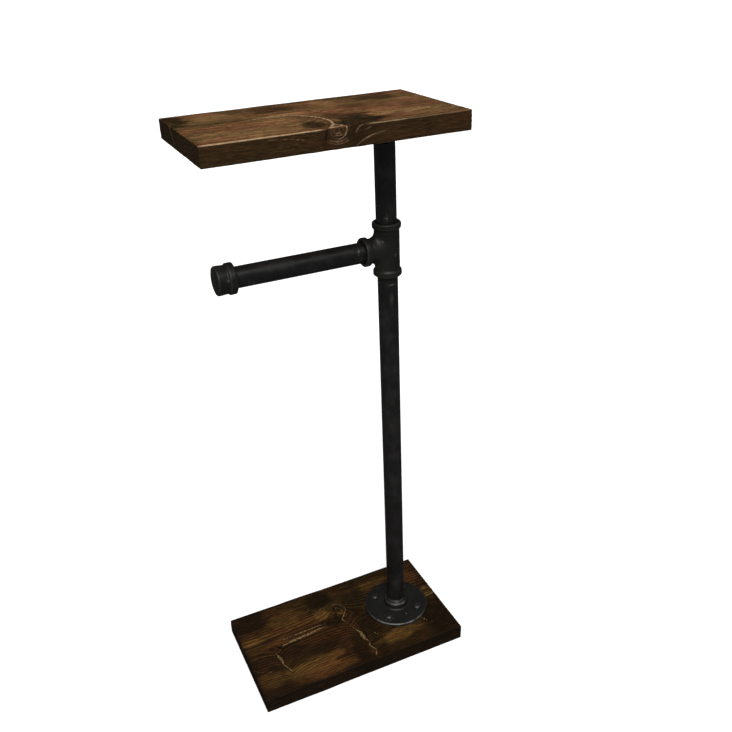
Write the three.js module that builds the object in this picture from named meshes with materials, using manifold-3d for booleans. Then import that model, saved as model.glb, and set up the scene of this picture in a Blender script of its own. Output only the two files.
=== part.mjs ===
// A free-standing toilet paper holder made from half-inch black iron pipe and two stained pine boards.
// Millimetres, +Z up. The origin is the centre of the base board's underside, on the floor.
// The post stands near the right end (+X) of the base, and the arm for the roll points left (-X).
// Each sub-part is one closed solid in its own named mesh.

import * as THREE from 'three';
import { mergeVertices } from 'three/addons/utils/BufferGeometryUtils.js';
import Module from 'manifold-3d';

const wasm = await Module();
wasm.setup();

// ---- Driving dimensions, in mm -------------------------------------------------------------

// Clearance left wherever two pieces would touch, and how far a cut runs past the face it opens.
const GAP = 0.3;
const OVERRUN = 1;

// Both boards are ten-inch lengths of planed 1x6 pine.
const BOARD_LENGTH = 254;
const BOARD_DEPTH = 139.7;
const BOARD_THICKNESS = 19.05;
const BOARD_EASED_EDGE = 1.2;
const POST_X = 72;

// Half-inch pipe, cut to 18, 4 and 6 inches. The upright pipes are screwed deeper into their
// fittings than the arm and its cap are.
const PIPE_OUTER_RADIUS = 10.67;
const PIPE_INNER_RADIUS = 7.9;
const PIPE_END_CHAMFER = 0.8;
const POST_LENGTH = 457.2;
const UPPER_LENGTH = 101.6;
const ARM_LENGTH = 152.4;
const UPRIGHT_ENGAGEMENT = 9.5;
const ARM_ENGAGEMENT = 9;
const SOCKET_RADIUS = PIPE_OUTER_RADIUS + GAP;

// Floor flange: a round plate with a low threaded hub.
const FLANGE_RADIUS = 39.5;
const FLANGE_PLATE = 4.6;
const FLANGE_HEIGHT = 12;
const FLANGE_RIM_ROUND = 1.4;
const HUB_RADIUS = 14;
const HUB_FILLET = 2.4;
const HUB_TOP_ROUND = 1;

// Four screws on a circle hold each flange.
const SCREW_COUNT = 4;
const SCREW_CIRCLE_RADIUS = 28;
const SCREW_FIRST_ANGLE = Math.PI / 4;
const SCREW_HOLE_RADIUS = 2.7;
const SCREW_HEAD_RADIUS = 5.2;
const SCREW_HEAD_HEIGHT = 3.4;
const SCREW_SHANK_RADIUS = 2;
const SCREW_SHANK_LENGTH = 18;
const SCREW_TIP_LENGTH = 4;
const PILOT_RADIUS = SCREW_SHANK_RADIUS + GAP;
const PILOT_DEPTH = 15;

// Tee: three equal mouths, each with a raised band, at the same distance from the centre.
const TEE_REACH = 28.4;
const TEE_BODY_RADIUS = 13.2;
const TEE_BRANCH_RADIUS = 12.9;
const TEE_BAND_RADIUS = 15;
const TEE_BAND_WIDTH = 6.4;
const TEE_WATERWAY_RADIUS = 9.2;
const TEE_BRANCH_WATERWAY_RADIUS = 8.8;
const TEE_SOCKET_DEPTH = 13;
const BAND_CHAMFER = 1.2;

// Cap: a banded cup with a slightly domed closed end.
const CAP_LENGTH = 20.4;
const CAP_BODY_RADIUS = 14.5;
const CAP_BAND_RADIUS = 15.7;
const CAP_BAND_WIDTH = 7.6;
const CAP_SOCKET_DEPTH = 13;
const CAP_SHOULDER = 2.2;
const CAP_DOME = 1;

// Sides of the polygons that stand for circles, and steps in each rounded corner.
const ROUND_SIDES = 48;
const SCREW_SIDES = 12;
const CORNER_STEPS = 3;

// ---- Heights worked out from the sizes above -----------------------------------------------

const BASE_FLANGE_Z = BOARD_THICKNESS + GAP;
const POST_BOTTOM_Z = BASE_FLANGE_Z + FLANGE_HEIGHT - UPRIGHT_ENGAGEMENT;
const TEE_Z = POST_BOTTOM_Z + POST_LENGTH - UPRIGHT_ENGAGEMENT + TEE_REACH;
const UPPER_BOTTOM_Z = TEE_Z + TEE_REACH - UPRIGHT_ENGAGEMENT;
const SHELF_FLANGE_TOP_Z = UPPER_BOTTOM_Z + UPPER_LENGTH - UPRIGHT_ENGAGEMENT + FLANGE_HEIGHT;
const SHELF_BOTTOM_Z = SHELF_FLANGE_TOP_Z + GAP;

// Distances from the post's axis, out along the arm.
const ARM_START = TEE_REACH - ARM_ENGAGEMENT;
const CAP_MOUTH = ARM_START + ARM_LENGTH - ARM_ENGAGEMENT;

// ---- Materials -----------------------------------------------------------------------------

const stainedPine = new THREE.MeshStandardMaterial({ color: 0x4a2f1b, roughness: 0.6, metalness: 0 });
const castIron = new THREE.MeshStandardMaterial({ color: 0x1e1e1c, roughness: 0.55, metalness: 0.6 });
const blackPipe = new THREE.MeshStandardMaterial({ color: 0x171616, roughness: 0.42, metalness: 0.6 });
const blackScrew = new THREE.MeshStandardMaterial({ color: 0x1a1a1a, roughness: 0.45, metalness: 0.7 });

// ---- Helpers -------------------------------------------------------------------------------

// A manifold solid from a closed three.js geometry, leaving out the collapsed triangles at a lathe's axis.
function toSolid(geometry) {
  const bare = geometry.clone();
  bare.deleteAttribute('normal');
  bare.deleteAttribute('uv');
  const merged = mergeVertices(bare);
  const corners = merged.index.array;
  const kept = [];
  for (let i = 0; i < corners.length; i += 3) {
    const [a, b, c] = [corners[i], corners[i + 1], corners[i + 2]];
    if (a !== b && b !== c && c !== a) {
      kept.push(a, b, c);
    }
  }
  return new wasm.Manifold(new wasm.Mesh({
    numProp: 3,
    vertProperties: merged.attributes.position.array,
    triVerts: Uint32Array.from(kept),
  }));
}

function toGeometry(solid) {
  const mesh = solid.getMesh();
  const geometry = new THREE.BufferGeometry();
  geometry.setAttribute('position', new THREE.BufferAttribute(mesh.vertProperties, 3));
  geometry.setIndex(new THREE.BufferAttribute(mesh.triVerts, 1));
  geometry.computeVertexNormals();
  return geometry;
}

function cut(geometry, tools) {
  let solid = toSolid(geometry);
  for (const tool of tools) {
    solid = solid.subtract(toSolid(tool));
  }
  return toGeometry(solid);
}

// Turns an outline of (radius, height) about the Z axis. Its outer side runs upwards.
function turned(outline, sides = ROUND_SIDES) {
  return new THREE.LatheGeometry(outline.getPoints(CORNER_STEPS), sides).rotateX(Math.PI / 2);
}

// A plain round rod standing on bottom, used to cut holes.
function rod(radius, bottom, height, sides = ROUND_SIDES) {
  const outline = new THREE.Path();
  outline.moveTo(0, bottom);
  outline.lineTo(radius, bottom);
  outline.lineTo(radius, bottom + height);
  outline.lineTo(0, bottom + height);
  return turned(outline, sides);
}

function screwPlaces() {
  return Array.from({ length: SCREW_COUNT }, (_, i) => {
    const angle = SCREW_FIRST_ANGLE + (i * 2 * Math.PI) / SCREW_COUNT;
    return [SCREW_CIRCLE_RADIUS * Math.cos(angle), SCREW_CIRCLE_RADIUS * Math.sin(angle)];
  });
}

function named(name, geometry, material) {
  const mesh = new THREE.Mesh(geometry, material);
  mesh.name = name;
  return mesh;
}

// ---- Sub-parts, each about its own axis ----------------------------------------------------

// A board lying on its underside, with eased edges.
function boardBlank() {
  const outline = new THREE.Shape();
  outline.moveTo(-BOARD_LENGTH / 2, -BOARD_DEPTH / 2);
  outline.lineTo(BOARD_LENGTH / 2, -BOARD_DEPTH / 2);
  outline.lineTo(BOARD_LENGTH / 2, BOARD_DEPTH / 2);
  outline.lineTo(-BOARD_LENGTH / 2, BOARD_DEPTH / 2);
  outline.closePath();
  const board = new THREE.ExtrudeGeometry(outline, {
    depth: BOARD_THICKNESS - 2 * BOARD_EASED_EDGE,
    bevelThickness: BOARD_EASED_EDGE,
    bevelSize: BOARD_EASED_EDGE,
    bevelOffset: -BOARD_EASED_EDGE,
    bevelSegments: CORNER_STEPS,
  });
  return board.translate(0, 0, BOARD_EASED_EDGE);
}

// A board with four blind pilot holes under the flange, going down from its top or up from its underside.
function pilotedBoard(fromTop) {
  const bottom = fromTop ? BOARD_THICKNESS - PILOT_DEPTH : -OVERRUN;
  const holes = screwPlaces().map(([x, y]) =>
    rod(PILOT_RADIUS, bottom, PILOT_DEPTH + OVERRUN, SCREW_SIDES).translate(POST_X + x, y, 0));
  return cut(boardBlank(), holes);
}

// A floor flange standing on its plate, with the hub upwards.
function floorFlange() {
  const outline = new THREE.Path();
  outline.moveTo(0, 0);
  outline.lineTo(FLANGE_RADIUS, 0);
  outline.lineTo(FLANGE_RADIUS, FLANGE_PLATE - FLANGE_RIM_ROUND);
  outline.quadraticCurveTo(FLANGE_RADIUS, FLANGE_PLATE, FLANGE_RADIUS - FLANGE_RIM_ROUND, FLANGE_PLATE);
  outline.lineTo(HUB_RADIUS + HUB_FILLET, FLANGE_PLATE);
  outline.quadraticCurveTo(HUB_RADIUS, FLANGE_PLATE, HUB_RADIUS, FLANGE_PLATE + HUB_FILLET);
  outline.lineTo(HUB_RADIUS, FLANGE_HEIGHT - HUB_TOP_ROUND);
  outline.quadraticCurveTo(HUB_RADIUS, FLANGE_HEIGHT, HUB_RADIUS - HUB_TOP_ROUND, FLANGE_HEIGHT);
  outline.lineTo(0, FLANGE_HEIGHT);
  const cutHeight = FLANGE_HEIGHT + 2 * OVERRUN;
  const bore = rod(SOCKET_RADIUS, -OVERRUN, cutHeight);
  const holes = screwPlaces().map(([x, y]) =>
    rod(SCREW_HOLE_RADIUS, -OVERRUN, cutHeight, SCREW_SIDES).translate(x, y, 0));
  return cut(turned(outline), [bore, ...holes]);
}

// A domed-head wood screw, point down, with the underside of its head at height 0.
function woodScrew() {
  const outline = new THREE.Path();
  outline.moveTo(0, -SCREW_SHANK_LENGTH);
  outline.lineTo(SCREW_SHANK_RADIUS, SCREW_TIP_LENGTH - SCREW_SHANK_LENGTH);
  outline.lineTo(SCREW_SHANK_RADIUS, 0);
  outline.lineTo(SCREW_HEAD_RADIUS, 0);
  outline.quadraticCurveTo(SCREW_HEAD_RADIUS, SCREW_HEAD_HEIGHT, 0, SCREW_HEAD_HEIGHT);
  return turned(outline, SCREW_SIDES);
}

// A length of pipe standing on its end, open through the middle.
function pipe(length) {
  const outline = new THREE.Path();
  outline.moveTo(PIPE_INNER_RADIUS, 0);
  outline.lineTo(PIPE_OUTER_RADIUS - PIPE_END_CHAMFER, 0);
  outline.lineTo(PIPE_OUTER_RADIUS, PIPE_END_CHAMFER);
  outline.lineTo(PIPE_OUTER_RADIUS, length - PIPE_END_CHAMFER);
  outline.lineTo(PIPE_OUTER_RADIUS - PIPE_END_CHAMFER, length);
  outline.lineTo(PIPE_INNER_RADIUS, length);
  outline.lineTo(PIPE_INNER_RADIUS, 0);
  return turned(outline);
}

// The rim of a tee's mouth as (radius, height) points, from the body up over the raised band.
function mouthPoints(bodyRadius) {
  const bandStart = TEE_REACH - TEE_BAND_WIDTH;
  return [
    new THREE.Vector2(bodyRadius, bandStart - BAND_CHAMFER),
    new THREE.Vector2(TEE_BAND_RADIUS, bandStart + BAND_CHAMFER),
    new THREE.Vector2(TEE_BAND_RADIUS, TEE_REACH - BAND_CHAMFER),
    new THREE.Vector2(TEE_BAND_RADIUS - BAND_CHAMFER, TEE_REACH),
    new THREE.Vector2(0, TEE_REACH),
  ];
}

// The stepped bore of a mouth: the waterway, then the wider socket, which runs out past the face.
function borePoints(waterwayRadius) {
  const socketFloor = TEE_REACH - TEE_SOCKET_DEPTH;
  return [
    new THREE.Vector2(waterwayRadius, socketFloor),
    new THREE.Vector2(SOCKET_RADIUS, socketFloor),
    new THREE.Vector2(SOCKET_RADIUS, TEE_REACH + OVERRUN),
    new THREE.Vector2(0, TEE_REACH + OVERRUN),
  ];
}

// The same points below height 0 and above it, for a body with two equal ends.
function mirrored(points) {
  const below = points.map(({ x, y }) => new THREE.Vector2(x, -y)).reverse();
  return [...below, ...points];
}

function turnedPoints(points) {
  return new THREE.LatheGeometry(points, ROUND_SIDES).rotateX(Math.PI / 2);
}

// A branch starts on the run's axis and points to -X.
function branch(points) {
  const start = new THREE.Vector2(0, 0);
  const foot = new THREE.Vector2(points[0].x, 0);
  return turnedPoints([start, foot, ...points]).rotateY(-Math.PI / 2);
}

// The tee, centred on the origin: its run stands along Z and its branch points to -X.
function teeFitting() {
  const run = turnedPoints(mirrored(mouthPoints(TEE_BODY_RADIUS)));
  const side = branch(mouthPoints(TEE_BRANCH_RADIUS));
  const body = toSolid(run).add(toSolid(side));
  const runBore = turnedPoints(mirrored(borePoints(TEE_WATERWAY_RADIUS)));
  const sideBore = branch(borePoints(TEE_BRANCH_WATERWAY_RADIUS));
  return toGeometry(body.subtract(toSolid(runBore)).subtract(toSolid(sideBore)));
}

// The cap, mouth down at height 0, with its closed end upwards.
function pipeCap() {
  const shoulder = CAP_LENGTH - CAP_DOME;
  const outline = new THREE.Path();
  outline.moveTo(0, CAP_SOCKET_DEPTH);
  outline.lineTo(SOCKET_RADIUS, CAP_SOCKET_DEPTH);
  outline.lineTo(SOCKET_RADIUS, 0);
  outline.lineTo(CAP_BAND_RADIUS - BAND_CHAMFER, 0);
  outline.lineTo(CAP_BAND_RADIUS, BAND_CHAMFER);
  outline.lineTo(CAP_BAND_RADIUS, CAP_BAND_WIDTH - BAND_CHAMFER);
  outline.lineTo(CAP_BODY_RADIUS, CAP_BAND_WIDTH);
  outline.lineTo(CAP_BODY_RADIUS, shoulder - CAP_SHOULDER);
  outline.quadraticCurveTo(CAP_BODY_RADIUS, shoulder, CAP_BODY_RADIUS - CAP_SHOULDER, shoulder);
  outline.quadraticCurveTo(CAP_BODY_RADIUS / 2, CAP_LENGTH, 0, CAP_LENGTH);
  return turned(outline);
}

// ---- Assembly ------------------------------------------------------------------------------

// A flange and its four screws as one group, seated on the plane z = 0 with the hub upwards.
function flangeSet(prefix) {
  const set = new THREE.Group();
  set.add(named(`${prefix}_flange`, floorFlange(), castIron));
  screwPlaces().forEach(([x, y], i) => {
    const screw = named(`${prefix}_flange_screw_${i + 1}`, woodScrew(), blackScrew);
    screw.position.set(x, y, FLANGE_PLATE + GAP);
    set.add(screw);
  });
  return set;
}

function addStand(holder) {
  holder.add(named('base_board', pilotedBoard(true), stainedPine));

  const flange = flangeSet('base');
  flange.position.set(POST_X, 0, BASE_FLANGE_Z);
  holder.add(flange);

  const post = named('post_pipe', pipe(POST_LENGTH), blackPipe);
  post.position.set(POST_X, 0, POST_BOTTOM_Z);
  holder.add(post);
}

function addHead(holder) {
  const tee = named('tee', teeFitting(), castIron);
  tee.position.set(POST_X, 0, TEE_Z);
  holder.add(tee);

  const upper = named('upper_pipe', pipe(UPPER_LENGTH), blackPipe);
  upper.position.set(POST_X, 0, UPPER_BOTTOM_Z);
  holder.add(upper);

  // Inside this group +Z runs out along the arm, away from the post.
  const arm = new THREE.Group();
  arm.position.set(POST_X, 0, TEE_Z);
  arm.rotation.y = -Math.PI / 2;
  holder.add(arm);

  const armPipe = named('arm_pipe', pipe(ARM_LENGTH), blackPipe);
  armPipe.position.z = ARM_START;
  arm.add(armPipe);

  const cap = named('arm_cap', pipeCap(), castIron);
  cap.position.z = CAP_MOUTH;
  arm.add(cap);
}

function addShelf(holder) {
  const board = named('shelf_board', pilotedBoard(false), stainedPine);
  board.position.z = SHELF_BOTTOM_Z;
  holder.add(board);

  // The same flange and screws, turned upside down against the shelf's underside.
  const flange = flangeSet('shelf');
  flange.rotation.x = Math.PI;
  flange.position.set(POST_X, 0, SHELF_FLANGE_TOP_Z);
  holder.add(flange);
}

const holder = new THREE.Group();
addStand(holder);
addHead(holder);
addShelf(holder);

export default holder;
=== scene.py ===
"""The looks of a pipe-and-board toilet paper holder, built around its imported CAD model.

Boards, pipes, cast fittings and screws are modelled in millimetres in the row frame and scaled to metres
when each mesh is made, so that a material's Object coordinates are the same metres as the frame's.
"""

import itertools
import math

import bmesh
import bpy
import numpy as np
from mathutils import Matrix, Vector


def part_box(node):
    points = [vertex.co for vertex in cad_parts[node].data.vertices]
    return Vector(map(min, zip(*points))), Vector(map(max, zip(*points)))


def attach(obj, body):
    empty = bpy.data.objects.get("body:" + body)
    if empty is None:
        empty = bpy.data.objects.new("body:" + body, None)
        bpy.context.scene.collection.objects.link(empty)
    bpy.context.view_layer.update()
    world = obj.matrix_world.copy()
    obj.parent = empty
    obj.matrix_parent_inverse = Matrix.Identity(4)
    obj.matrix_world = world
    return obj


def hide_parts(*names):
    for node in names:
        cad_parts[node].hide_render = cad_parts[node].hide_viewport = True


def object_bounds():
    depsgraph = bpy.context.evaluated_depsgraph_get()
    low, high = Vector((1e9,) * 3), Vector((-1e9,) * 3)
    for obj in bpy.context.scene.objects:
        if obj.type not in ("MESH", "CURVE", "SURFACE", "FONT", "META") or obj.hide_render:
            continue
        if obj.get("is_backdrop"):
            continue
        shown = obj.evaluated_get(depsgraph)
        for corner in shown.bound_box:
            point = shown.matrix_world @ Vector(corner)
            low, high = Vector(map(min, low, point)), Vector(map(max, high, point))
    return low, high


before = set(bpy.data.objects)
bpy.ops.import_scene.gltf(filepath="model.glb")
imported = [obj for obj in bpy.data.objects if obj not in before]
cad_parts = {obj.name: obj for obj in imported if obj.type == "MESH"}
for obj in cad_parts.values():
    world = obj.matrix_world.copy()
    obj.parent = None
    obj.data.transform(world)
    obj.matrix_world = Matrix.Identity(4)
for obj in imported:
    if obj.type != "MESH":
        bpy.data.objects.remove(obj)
cad_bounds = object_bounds()

MM = 0.001

# ---- Places and sizes taken from the frame, in mm ----


def node_box(name):
    """A CAD node's lowest and highest corners, in mm."""
    low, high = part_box(name)
    return np.array(low) / MM, np.array(high) / MM


def middle(name):
    """The middle of a CAD node's box, in mm."""
    low, high = node_box(name)
    return (low + high) / 2


POST_X, POST_Y = middle("post_pipe")[:2]
TEE_Z = middle("arm_pipe")[2]
PIPE_RADIUS = (node_box("post_pipe")[1][0] - node_box("post_pipe")[0][0]) / 2

# ---- Camera ----

CAMERA_PLACE = (-0.2845, -0.7274, 0.7829)
CAMERA_YAW = math.radians(23.196)
CAMERA_PITCH = math.radians(26.551)
CAMERA_ROLL = math.radians(2.738)
CAMERA_LENS = 41.01
CAMERA_SHIFT = (0.0196, -0.0160)


def new_object(name, data):
    """An object in the scene that shows data."""
    made = bpy.data.objects.new(name, data)
    bpy.context.scene.collection.objects.link(made)
    return made


def make_camera():
    """The main view of the object."""
    data = bpy.data.cameras.new("camera")
    data.sensor_width = 36
    data.lens = CAMERA_LENS
    data.shift_x, data.shift_y = CAMERA_SHIFT
    data.clip_start = 0.01
    camera = new_object("camera", data)
    camera.matrix_world = (
        Matrix.Translation(CAMERA_PLACE)
        @ Matrix.Rotation(-CAMERA_YAW, 4, "Z")
        @ Matrix.Rotation(math.pi / 2 - CAMERA_PITCH, 4, "X")
        @ Matrix.Rotation(-CAMERA_ROLL, 4, "Z")
    )
    bpy.context.scene.camera = camera


make_camera()

# ---- Noise and shaping ----


def smooth_step(low, high, value):
    """0 at low and 1 at high, easing in and out. Falls instead where low is above high."""
    t = np.clip((value - low) / (high - low), 0, 1)
    return t * t * (3 - 2 * t)


def lattice_value(cells, seed):
    """A repeatable random number from -1 to 1 for each whole-number cell."""
    dots = cells @ np.array([127.1, 311.7, 74.7]) + seed * 37.3
    return 2 * np.mod(np.sin(dots) * 43758.5453, 1) - 1


def noise(points, size, seed):
    """Smooth noise from -1 to 1 whose bumps are about size mm across, one size or one for each axis."""
    scaled = points / np.broadcast_to(np.asarray(size, float), 3)
    base = np.floor(scaled)
    part = scaled - base
    ease = part * part * (3 - 2 * part)
    total = np.zeros(len(points))
    for corner in itertools.product((0, 1), repeat=3):
        weight = np.prod(np.where(corner, ease, 1 - ease), axis=1)
        total += weight * lattice_value(base + corner, seed)
    return total


def layered_noise(points, size, seed, layers=3):
    """Noise with finer, weaker layers on top."""
    size = np.asarray(size, float)
    total = sum(noise(points, size / 2**i, seed + i) / 2**i for i in range(layers))
    return total / 1.5


# ---- Meshes ----


def mesh_object(name, vertices, faces):
    """An object from vertices in mm."""
    mesh = bpy.data.meshes.new(name)
    mesh.from_pydata((np.asarray(vertices) * MM).tolist(), [], [tuple(f) for f in faces])
    mesh.validate()
    mesh.polygons.foreach_set("use_smooth", [True] * len(mesh.polygons))
    return new_object(name, mesh)


def vertices_of(made):
    """The vertices of an object's mesh, in mm."""
    flat = np.empty(len(made.data.vertices) * 3)
    made.data.vertices.foreach_get("co", flat)
    return flat.reshape(-1, 3) / MM


def normals_of(made):
    """The normal at each vertex of an object's mesh."""
    flat = np.empty(len(made.data.vertices) * 3, np.float32)
    made.data.vertices.foreach_get("normal", flat)
    return flat.reshape(-1, 3).astype(float)


def move_vertices(made, vertices):
    made.data.vertices.foreach_set("co", (np.asarray(vertices) * MM).ravel())
    made.data.update()


def add_attribute(made, name, *values):
    """Stores three numbers for each vertex under a name that a material can read."""
    attribute = made.data.attributes.new(name, "FLOAT_VECTOR", "POINT")
    attribute.data.foreach_set("vector", np.stack(values, axis=1).astype(np.float32).ravel())


def apply_modifiers(made):
    """Replaces an object's mesh by what its modifiers make of it."""
    depsgraph = bpy.context.evaluated_depsgraph_get()
    result = bpy.data.meshes.new_from_object(made.evaluated_get(depsgraph))
    made.modifiers.clear()
    made.data = result


def discard(*objects):
    for unwanted in objects:
        bpy.data.objects.remove(unwanted)


def cut(made, *tools):
    """Cuts each tool out of an object and throws the tools away."""
    for tool in tools:
        modifier = made.modifiers.new("cut", "BOOLEAN")
        modifier.operation = "DIFFERENCE"
        modifier.solver = "EXACT"
        modifier.object = tool
    bpy.context.view_layer.update()
    apply_modifiers(made)
    discard(*tools)


def finish_piece(made, body, node, material):
    """Gives a finished piece its material and its place in the frame."""
    made.data.materials.clear()
    made.data.materials.append(material)
    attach(made, body)
    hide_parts(node)


def rounded_line(corners, steps=5):
    """Points along a line through (radius, height, rounding) corners, each corner rounded."""
    places = [np.array(corner[:2], float) for corner in corners]
    points = [places[0]]
    for i in range(1, len(corners) - 1):
        before, here, after = places[i - 1 : i + 2]
        reach = corners[i][2]
        if reach == 0:
            points.append(here)
            continue
        start = here + (before - here) / np.linalg.norm(before - here) * reach
        end = here + (after - here) / np.linalg.norm(after - here) * reach
        for t in np.linspace(0, 1, steps):
            points.append((1 - t) ** 2 * start + 2 * t * (1 - t) * here + t**2 * end)
    points.append(places[-1])
    return np.array(points)


def densify(points, longest):
    """The same line with no stretch longer than longest."""
    result = [points[0]]
    for start, end in zip(points[:-1], points[1:]):
        pieces = max(1, math.ceil(np.linalg.norm(end - start) / longest))
        result.extend(start + (end - start) * (i + 1) / pieces for i in range(pieces))
    return np.array(result)


def turned(name, profile, sides):
    """A solid turned about Z from (radius, height) points, which start and end on the axis or close on
    themselves. Its outer side runs upwards."""
    closed = np.allclose(profile[0], profile[-1])
    rows = profile[:-1] if closed else profile[1:-1]
    angles = np.arange(sides) * 2 * math.pi / sides
    around = np.stack([np.cos(angles), np.sin(angles)], axis=1)
    rings = [np.column_stack([around * r, np.full(sides, z)]) for r, z in rows]
    vertices = np.concatenate(rings)
    nexts = np.roll(np.arange(sides), -1)
    faces = []
    spans = len(rows) if closed else len(rows) - 1
    for row in range(spans):
        low = row * sides
        high = (row + 1) % len(rows) * sides
        for side in range(sides):
            faces.append((low + side, low + nexts[side], high + nexts[side], high + side))
    if not closed:
        poles = [[0, 0, profile[0][1]], [0, 0, profile[-1][1]]]
        bottom, top = len(vertices), len(vertices) + 1
        last = (len(rows) - 1) * sides
        vertices = np.concatenate([vertices, poles])
        faces += [(bottom, nexts[side], side) for side in range(sides)]
        faces += [(top, last + side, last + nexts[side]) for side in range(sides)]
    return mesh_object(name, vertices, faces)


def rod(radius, bottom, top, sides=96):
    """A plain round rod on the Z axis, used to cut bores and holes."""
    return turned("rod", np.array([(0, bottom), (radius, bottom), (radius, top), (0, top)]), sides)


def place(made, matrix=None, offset=(0, 0, 0)):
    """Turns an object's mesh about the origin and moves it by offset, in mm."""
    if matrix is not None:
        made.data.transform(matrix)
    made.data.transform(Matrix.Translation(Vector(offset) * MM))
    return made


UPSIDE_DOWN = Matrix.Rotation(math.pi, 4, "X")
TOWARDS_ARM = Matrix.Rotation(-math.pi / 2, 4, "Y")

# ---- Material nodes ----


class Shader:
    """A material being built from nodes."""

    def __init__(self, name):
        self.material = bpy.data.materials.new(name)
        self.material.use_nodes = True
        self.tree = self.material.node_tree
        self.surface = self.tree.nodes["Principled BSDF"]

    def node(self, kind, inputs=(), **settings):
        made = self.tree.nodes.new(kind)
        for name, value in settings.items():
            setattr(made, name, value)
        for name, value in dict(inputs).items():
            self.feed(made, name, value)
        return made

    def feed(self, node, name, value):
        """Links a socket or sets a value."""
        if isinstance(value, bpy.types.NodeSocket):
            self.tree.links.new(value, node.inputs[name])
        else:
            node.inputs[name].default_value = value

    def math(self, operation, *values, clamp=False):
        made = self.node("ShaderNodeMath", dict(enumerate(values)), operation=operation, use_clamp=clamp)
        return made.outputs[0]

    def times(self, a, b, clamp=False):
        return self.math("MULTIPLY", a, b, clamp=clamp)

    def plus(self, a, b):
        return self.math("ADD", a, b)

    def between(self, value, low, high, start=0.0, end=1.0):
        """Maps value from low..high to start..end, smoothly and clamped."""
        inputs = {"Value": value, "From Min": low, "From Max": high, "To Min": start, "To Max": end}
        made = self.node("ShaderNodeMapRange", inputs, interpolation_type="SMOOTHSTEP")
        return made.outputs["Result"]

    def blend(self, amount, low, high, mode="MIX"):
        """Mixes two colours, sockets or (red, green, blue)."""
        made = self.node("ShaderNodeMix", {"Factor": amount}, data_type="RGBA", blend_type=mode)
        for index, colour in ((6, low), (7, high)):
            value = colour if isinstance(colour, bpy.types.NodeSocket) else (*colour, 1)
            self.feed(made, index, value)
        return made.outputs[2]

    def blend_value(self, amount, low, high):
        made = self.node("ShaderNodeMix", {"Factor": amount}, data_type="FLOAT")
        self.feed(made, 2, low)
        self.feed(made, 3, high)
        return made.outputs[0]

    def noise(self, vector, scale, detail=3.0, roughness=0.55):
        """Noise with one scale, or with a scale for each axis."""
        if isinstance(scale, tuple):
            stretched = self.node("ShaderNodeVectorMath", {0: vector, 1: scale}, operation="MULTIPLY")
            vector, scale = stretched.outputs[0], 1.0
        inputs = {"Vector": vector, "Scale": scale, "Detail": detail, "Roughness": roughness}
        return self.node("ShaderNodeTexNoise", inputs).outputs["Fac"]

    def place(self):
        """Object coordinates: metres in the row frame."""
        return self.node("ShaderNodeTexCoord").outputs["Object"]

    def attribute(self, name):
        return self.node("ShaderNodeAttribute", attribute_name=name).outputs["Vector"]

    def parts(self, vector):
        return self.node("ShaderNodeSeparateXYZ", {0: vector}).outputs

    def bump(self, height, strength, distance):
        inputs = {"Height": height, "Strength": strength, "Distance": distance}
        return self.node("ShaderNodeBump", inputs).outputs[0]

    def set(self, **values):
        """Sets sockets of the surface. An underscore stands for a space."""
        for name, value in values.items():
            self.feed(self.surface, name.replace("_", " "), value)


# ---- Wood ----
# A board is sawn from a log. Its rings are circles about the pith, which runs along X, and each branch
# that grew out of the pith is a knot that the rings swell around. One description gives the grain on
# all six faces, its relief, the places where stain and flame have darkened it, and the painted shade that
# darkens its upright faces. Places are in mm from the middle of the board's underside.

TOP = 19.05
FRONT = -69.85
ARC_POINTS = 9


def arc(face, middle, half_size, degrees, widths):
    """A mark along part of an ellipse on a board's top or front face, as points like those of a ridge. widths
    are half its width at its start, middle and end."""
    angles = np.radians(np.linspace(*degrees, ARC_POINTS))
    along = middle[0] + half_size[0] * np.cos(angles)
    other = middle[1] + half_size[1] * np.sin(angles)
    width = np.interp(np.linspace(0, 2, ARC_POINTS), (0, 1, 2), widths)
    if face == "top":
        return [(x, y, TOP, w) for x, y, w in zip(along, other, width)]
    return [(x, FRONT, z, w) for x, z, w in zip(along, other, width)]


def on_top(*points):
    """A mark on a board's top face, from points of x, y and half its width."""
    return [(x, y, TOP, width) for x, y, width in points]


# The shelf's great knot opens on its front face: its middle there, its radius, and its growth rings, each
# given by how far below the middle it passes.
KNOT_MIDDLE = (-5, 17)
KNOT_RADIUS = 8
RING_DEPTHS = (3, 5, 10, 12)


def rings_below_knot():
    """Growth rings on the front face, flatter and wider the further they are from the knot."""
    sizes = [(1.3 * depth + 1, depth) for depth in RING_DEPTHS]
    return [arc("front", KNOT_MIDDLE, size, (-130, -55), (0.3, 0.6, 0.3)) for size in sizes]


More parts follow.
